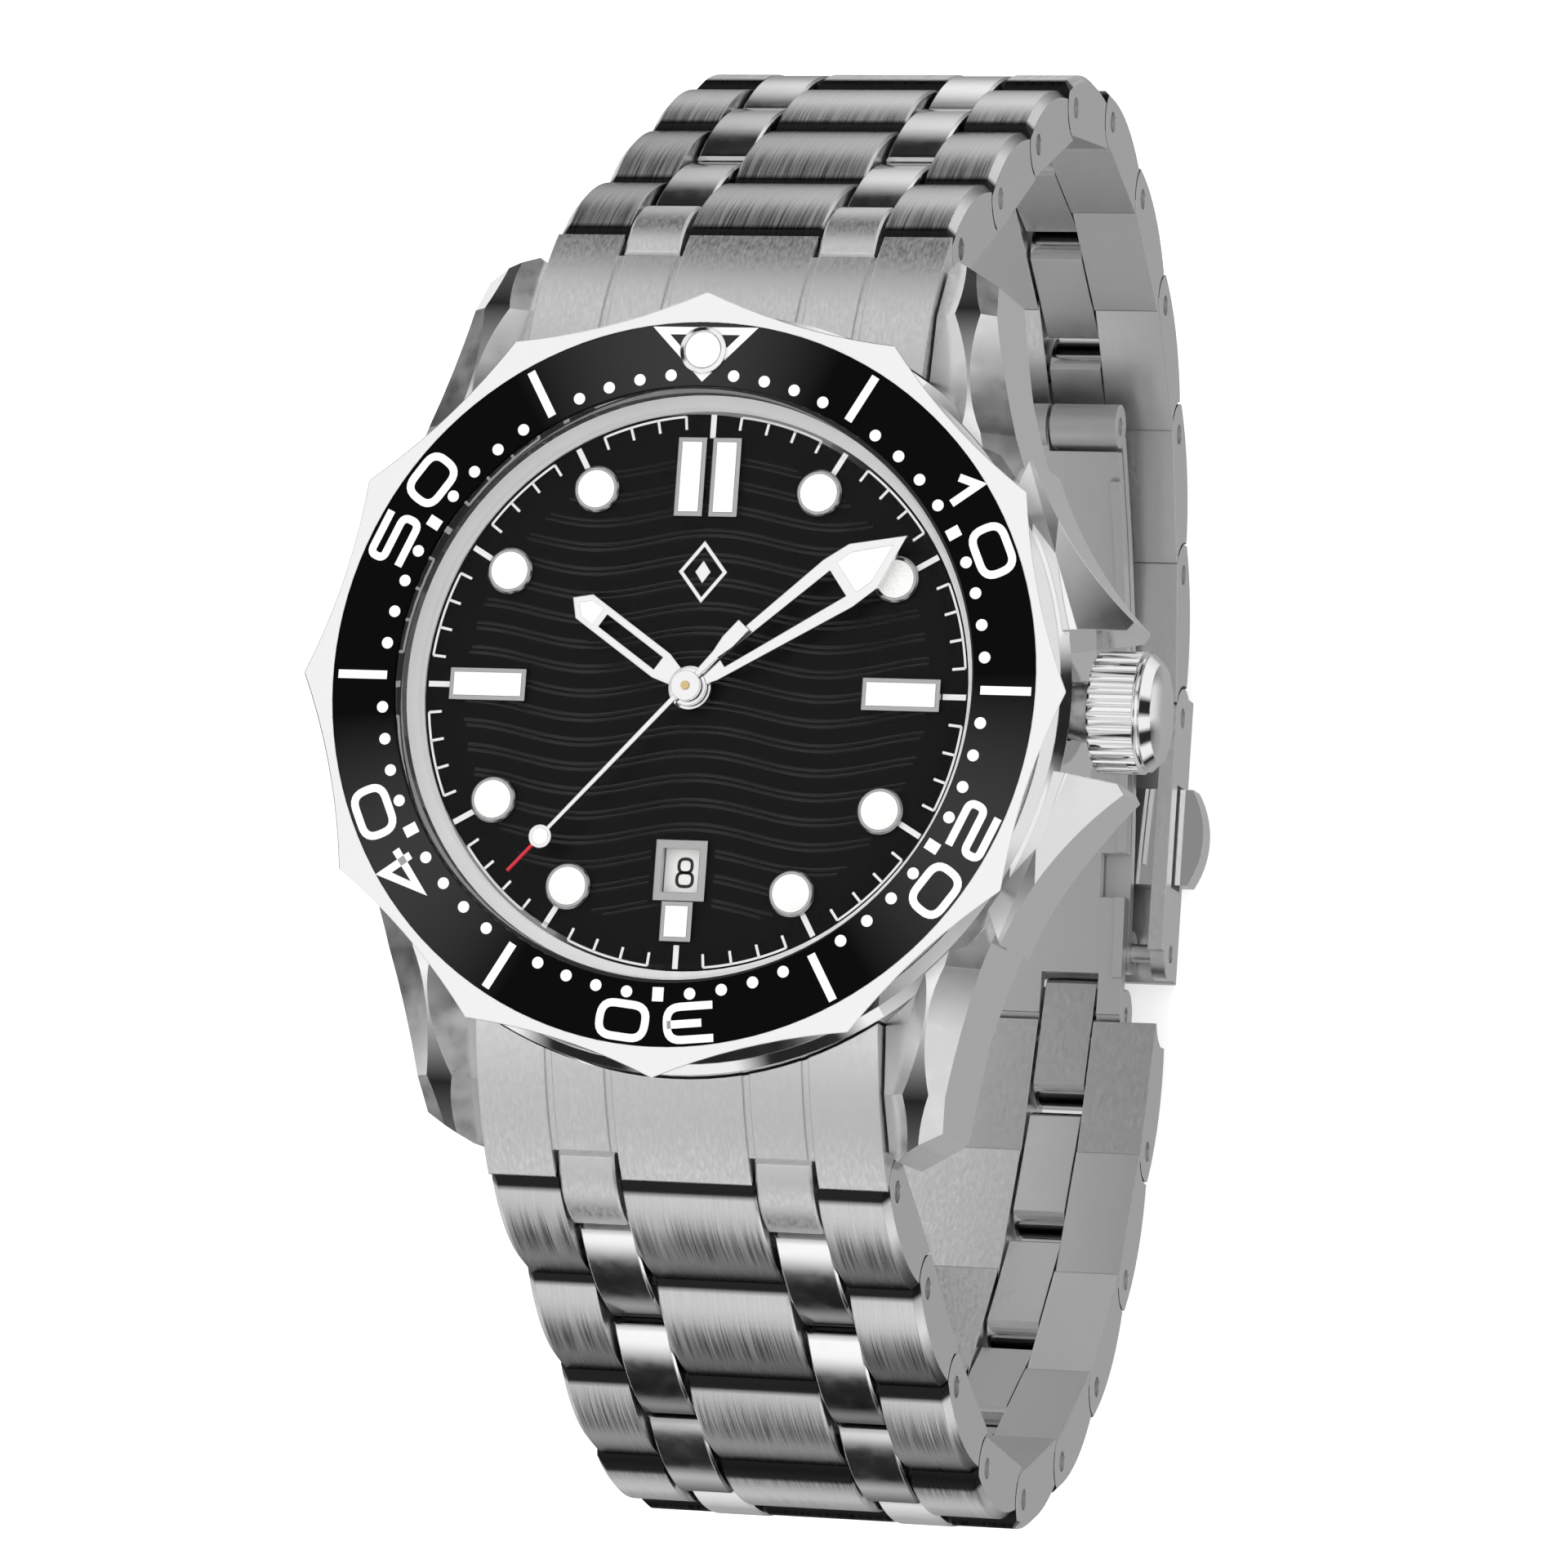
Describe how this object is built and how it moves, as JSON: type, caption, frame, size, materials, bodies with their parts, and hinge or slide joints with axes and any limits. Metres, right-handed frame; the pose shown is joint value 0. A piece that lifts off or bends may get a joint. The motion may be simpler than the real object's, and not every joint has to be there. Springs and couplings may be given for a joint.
{
  "type": "dive watch",
  "caption": "Round dive wristwatch with turning bezel, screw-down crown, three hands, date window, link bracelet and folding clasp.",
  "frame": {"origin": "on the hands' axis, on the outer face of the case back", "axes": "+Z out of the dial towards the viewer, +Y towards 12 o'clock, +X towards 3 o'clock and the crown"},
  "size_m": [0.0453, 0.0822, 0.0703],
  "materials": {
    "polished_steel": "mirror polished stainless steel",
    "brushed_steel": "brushed stainless steel",
    "blasted_steel": "bead-blasted stainless steel",
    "pin_steel": "turned steel",
    "black_ceramic": "glossy black ceramic",
    "dial_black": "polished black, engraved waves",
    "sapphire": "clear",
    "gasket": "matt nitrile",
    "brass": "gilt",
    "movement_plate": "rhodium plated",
    "white_date": "printed white"
  },
  "bodies": {
    "case": {"case_middle": "polished_steel", "case_back": "brushed_steel", "case_back_gasket": "gasket", "crown_tube": "pin_steel", "crystal": "sapphire", "crystal_gasket": "gasket", "rehaut_ring": "polished_steel", "bezel_click_spring": "blasted_steel", "dial": "dial_black", "hour_markers": "polished_steel", "date_frame": "polished_steel", "mainplate": "movement_plate", "train_bridge": "movement_plate", "end_links": "brushed_steel", "lug_spring_bars": "pin_steel"},
    "bezel": {"bezel_ring": "polished_steel", "bezel_insert": "black_ceramic", "bezel_pearl": "polished_steel"},
    "minute": {"minute_hand": "polished_steel", "cannon_pinion": "pin_steel"},
    "hour": {"hour_hand": "polished_steel", "hour_wheel": "brass"},
    "minute_wheel": {"minute_wheel": "brass"},
    "seconds": {"seconds_hand": "polished_steel", "fourth_wheel": "brass"},
    "third_wheel": {"third_wheel": "brass"},
    "centre_wheel": {"centre_wheel": "brass"},
    "escape_wheel": {"escape_wheel": "pin_steel"},
    "barrel": {"barrel": "brass"},
    "pallet_fork": {"pallet_fork": "pin_steel"},
    "balance": {"balance_wheel": "brass"},
    "date_ring": {"date_ring": "white_date"},
    "rotor": {"winding_rotor": "movement_plate"},
    "clutch": {"clutch_wheel": "pin_steel"},
    "crown": {"crown": "polished_steel", "winding_stem": "pin_steel", "crown_gasket": "gasket"},
    "row_a1": {"link_a1": "brushed_steel"},
    "row_b1": {"link_b1": "brushed_steel"},
    "row_a2": {"link_a2": "brushed_steel"},
    "row_b2": {"link_b2": "brushed_steel"},
    "row_a3": {"link_a3": "brushed_steel"},
    "row_b3": {"link_b3": "brushed_steel"},
    "row_a4": {"link_a4": "brushed_steel"},
    "row_b4": {"link_b4": "brushed_steel"},
    "row_a5": {"link_a5": "brushed_steel"},
    "row_b5": {"link_b5": "brushed_steel"},
    "row_a6": {"link_a6": "brushed_steel"},
    "row_b6": {"link_b6": "brushed_steel"},
    "row_a7": {"link_a7": "brushed_steel"},
    "row_b7": {"link_b7": "brushed_steel"},
    "row_a8": {"link_a8": "brushed_steel"},
    "row_b8": {"link_b8": "brushed_steel"},
    "row_a9": {"link_a9": "brushed_steel"},
    "row_b9": {"link_b9": "brushed_steel"},
    "clasp_cover": {"clasp_cover": "brushed_steel"},
    "blade_outer": {"blade_outer": "blasted_steel"},
    "blade_inner": {"blade_inner": "blasted_steel"},
    "button_right": {"push_button_right": "polished_steel"},
    "button_left": {"push_button_left": "polished_steel"}
  },
  "joints": [
    {"name": "bezel_turn", "type": "hinge", "parent": "case", "child": "bezel", "pos_m": [0, 0, 0.0105], "axis": [0, 0, 1], "continuous": true},
    {"name": "minute_turn", "type": "hinge", "parent": "case", "child": "minute", "pos_m": [0, 0, 0.0102], "axis": [0, 0, 1], "continuous": true},
    {"name": "hour_turn", "type": "hinge", "parent": "case", "child": "hour", "pos_m": [0, 0, 0.0098], "axis": [0, 0, 1], "continuous": true},
    {"name": "minute_wheel_turn", "type": "hinge", "parent": "case", "child": "minute_wheel", "pos_m": [0, 0.0024, 0.0079], "axis": [0, 0, 1], "continuous": true},
    {"name": "seconds_turn", "type": "hinge", "parent": "case", "child": "seconds", "pos_m": [0, 0, 0.006], "axis": [0, 0, 1], "continuous": true},
    {"name": "third_wheel_turn", "type": "hinge", "parent": "case", "child": "third_wheel", "pos_m": [-0.0045, 0, 0.005], "axis": [0, 0, 1], "continuous": true},
    {"name": "centre_wheel_turn", "type": "hinge", "parent": "case", "child": "centre_wheel", "pos_m": [0, 0, 0.005], "axis": [0, 0, 1], "continuous": true},
    {"name": "escape_wheel_turn", "type": "hinge", "parent": "case", "child": "escape_wheel", "pos_m": [0.00347, 0.00265, 0.005], "axis": [0, 0, 1], "continuous": true},
    {"name": "barrel_turn", "type": "hinge", "parent": "case", "child": "barrel", "pos_m": [-0.0008, -0.0089, 0.005], "axis": [0, 0, 1], "continuous": true},
    {"name": "pallet_swing", "type": "hinge", "parent": "case", "child": "pallet_fork", "pos_m": [0.0063, 0.00495, 0.0054], "axis": [0, 0, 1], "range_deg": [-5, 5]},
    {"name": "balance_swing", "type": "hinge", "parent": "case", "child": "balance", "pos_m": [0.0054, 0.008, 0.0047], "axis": [0, 0, 1], "range_deg": [-150, 150]},
    {"name": "date_ring_turn", "type": "hinge", "parent": "case", "child": "date_ring", "pos_m": [0, 0, 0.0083], "axis": [0, 0, 1], "continuous": true},
    {"name": "rotor_turn", "type": "hinge", "parent": "case", "child": "rotor", "pos_m": [0, 0, 0.0025], "axis": [0, 0, 1], "continuous": true},
    {"name": "crown_turn", "type": "hinge", "parent": "case", "child": "clutch", "pos_m": [0.015, 0, 0.0053], "axis": [1, 0, 0], "continuous": true},
    {"name": "crown_pull", "type": "slide", "parent": "clutch", "child": "crown", "axis": [1, 0, 0], "range_m": [0, 0.0012]},
    {"name": "row_a1_fold", "type": "hinge", "parent": "case", "child": "row_a1", "pos_m": [0, 0.0252, 0.0022], "axis": [1, 0, 0], "range_deg": [0, 21.3]},
    {"name": "row_a2_fold", "type": "hinge", "parent": "row_a1", "child": "row_a2", "pos_m": [0, 0.02963, -0.00517], "axis": [1, 0, 0], "range_deg": [0, 12.5]},
    {"name": "row_a3_fold", "type": "hinge", "parent": "row_a2", "child": "row_a3", "pos_m": [0, 0.03431, -0.01238], "axis": [1, 0, 0], "range_deg": [0, 10.3]},
    {"name": "row_a4_fold", "type": "hinge", "parent": "row_a3", "child": "row_a4", "pos_m": [0, 0.03822, -0.02005], "axis": [1, 0, 0], "range_deg": [0, 6.3]},
    {"name": "row_a5_fold", "type": "hinge", "parent": "row_a4", "child": "row_a5", "pos_m": [0, 0.03941, -0.02856], "axis": [1, 0, 0], "range_deg": [0, 9.2]},
    {"name": "row_a6_fold", "type": "hinge", "parent": "row_a5", "child": "row_a6", "pos_m": [0, 0.03676, -0.03674], "axis": [1, 0, 0], "range_deg": [0, 22.1]},
    {"name": "row_a7_fold", "type": "hinge", "parent": "row_a6", "child": "row_a7", "pos_m": [0, 0.03195, -0.04387], "axis": [1, 0, 0], "range_deg": [0, 31.5]},
    {"name": "row_a8_fold", "type": "hinge", "parent": "row_a7", "child": "row_a8", "pos_m": [0, 0.02526, -0.04928], "axis": [1, 0, 0], "range_deg": [0, 23.9]},
    {"name": "row_a9_fold", "type": "hinge", "parent": "row_a8", "child": "row_a9", "pos_m": [0, 0.01735, -0.05264], "axis": [1, 0, 0], "range_deg": [-14.1, 0]},
    {"name": "cover_fold", "type": "hinge", "parent": "row_a9", "child": "clasp_cover", "pos_m": [0, 0.009, -0.05472], "axis": [1, 0, 0], "range_deg": [-35.2, 0]},
    {"name": "outer_blade_fold", "type": "hinge", "parent": "clasp_cover", "child": "blade_outer", "pos_m": [0, -0.0052, -0.0554], "axis": [1, 0, 0], "range_deg": [0, 35.4]},
    {"name": "clasp_open", "type": "hinge", "parent": "blade_outer", "child": "blade_inner", "pos_m": [0, 0.0247, -0.04421], "axis": [1, 0, 0], "range_deg": [-120, 0]},
    {"name": "row_b1_fold", "type": "hinge", "parent": "case", "child": "row_b1", "pos_m": [0, -0.0252, 0.0022], "axis": [1, 0, 0], "range_deg": [0, 36.4]},
    {"name": "row_b2_fold", "type": "hinge", "parent": "row_b1", "child": "row_b2", "pos_m": [0, -0.02963, -0.00517], "axis": [1, 0, 0], "range_deg": [0, 24.1]},
    {"name": "row_b3_fold", "type": "hinge", "parent": "row_b2", "child": "row_b3", "pos_m": [0, -0.03431, -0.01238], "axis": [1, 0, 0], "range_deg": [0, 5.6]},
    {"name": "row_b4_fold", "type": "hinge", "parent": "row_b3", "child": "row_b4", "pos_m": [0, -0.03822, -0.02005], "axis": [1, 0, 0], "range_deg": [-10.3, 0]},
    {"name": "row_b5_fold", "type": "hinge", "parent": "row_b4", "child": "row_b5", "pos_m": [0, -0.03941, -0.02856], "axis": [1, 0, 0], "range_deg": [-19.2, 0]},
    {"name": "row_b6_fold", "type": "hinge", "parent": "row_b5", "child": "row_b6", "pos_m": [0, -0.03676, -0.03674], "axis": [1, 0, 0], "range_deg": [-18.6, 0]},
    {"name": "row_b7_fold", "type": "hinge", "parent": "row_b6", "child": "row_b7", "pos_m": [0, -0.03195, -0.04387], "axis": [1, 0, 0], "range_deg": [-11.4, 0]},
    {"name": "row_b8_fold", "type": "hinge", "parent": "row_b7", "child": "row_b8", "pos_m": [0, -0.02526, -0.04928], "axis": [1, 0, 0], "range_deg": [-2.7, 0]},
    {"name": "row_b9_fold", "type": "hinge", "parent": "row_b8", "child": "row_b9", "pos_m": [0, -0.01735, -0.05264], "axis": [1, 0, 0], "range_deg": [0, 1.3]},
    {"name": "button_right_press", "type": "slide", "parent": "clasp_cover", "child": "button_right", "axis": [-1, 0, 0], "range_m": [0, 0.0008], "stiffness_N_per_m": 100},
    {"name": "button_left_press", "type": "slide", "parent": "clasp_cover", "child": "button_left", "axis": [1, 0, 0], "range_m": [0, 0.0008], "stiffness_N_per_m": 100}
  ],
  "couplings": [
    {"joint": "hour_turn", "follows": "minute_turn", "ratio": 0.083333},
    {"joint": "minute_wheel_turn", "follows": "minute_turn", "ratio": -0.33333},
    {"joint": "third_wheel_turn", "follows": "seconds_turn", "ratio": -0.125},
    {"joint": "centre_wheel_turn", "follows": "seconds_turn", "ratio": 0.016667},
    {"joint": "escape_wheel_turn", "follows": "seconds_turn", "ratio": -8.75},
    {"joint": "row_a1_fold", "follows": "clasp_open", "ratio": -0.17292},
    {"joint": "row_a2_fold", "follows": "clasp_open", "ratio": -0.1},
    {"joint": "row_a3_fold", "follows": "clasp_open", "ratio": -0.081642},
    {"joint": "row_a4_fold", "follows": "clasp_open", "ratio": -0.048667},
    {"joint": "row_a5_fold", "follows": "clasp_open", "ratio": -0.072292},
    {"joint": "row_a6_fold", "follows": "clasp_open", "ratio": -0.18009},
    {"joint": "row_a7_fold", "follows": "clasp_open", "ratio": -0.25833},
    {"joint": "row_a8_fold", "follows": "clasp_open", "ratio": -0.19515},
    {"joint": "row_a9_fold", "follows": "clasp_open", "ratio": 0.1132},
    {"joint": "cover_fold", "follows": "clasp_open", "ratio": 0.28896},
    {"joint": "outer_blade_fold", "follows": "clasp_open", "ratio": -0.29055},
    {"joint": "row_b1_fold", "follows": "clasp_open", "ratio": -0.29942},
    {"joint": "row_b2_fold", "follows": "clasp_open", "ratio": -0.19673},
    {"joint": "row_b3_fold", "follows": "clasp_open", "ratio": -0.042892},
    {"joint": "row_b4_fold", "follows": "clasp_open", "ratio": 0.081558},
    {"joint": "row_b5_fold", "follows": "clasp_open", "ratio": 0.15617},
    {"joint": "row_b6_fold", "follows": "clasp_open", "ratio": 0.15118},
    {"joint": "row_b7_fold", "follows": "clasp_open", "ratio": 0.090583},
    {"joint": "row_b8_fold", "follows": "clasp_open", "ratio": 0.0184},
    {"joint": "row_b9_fold", "follows": "clasp_open", "ratio": -0.006342}
  ]
}
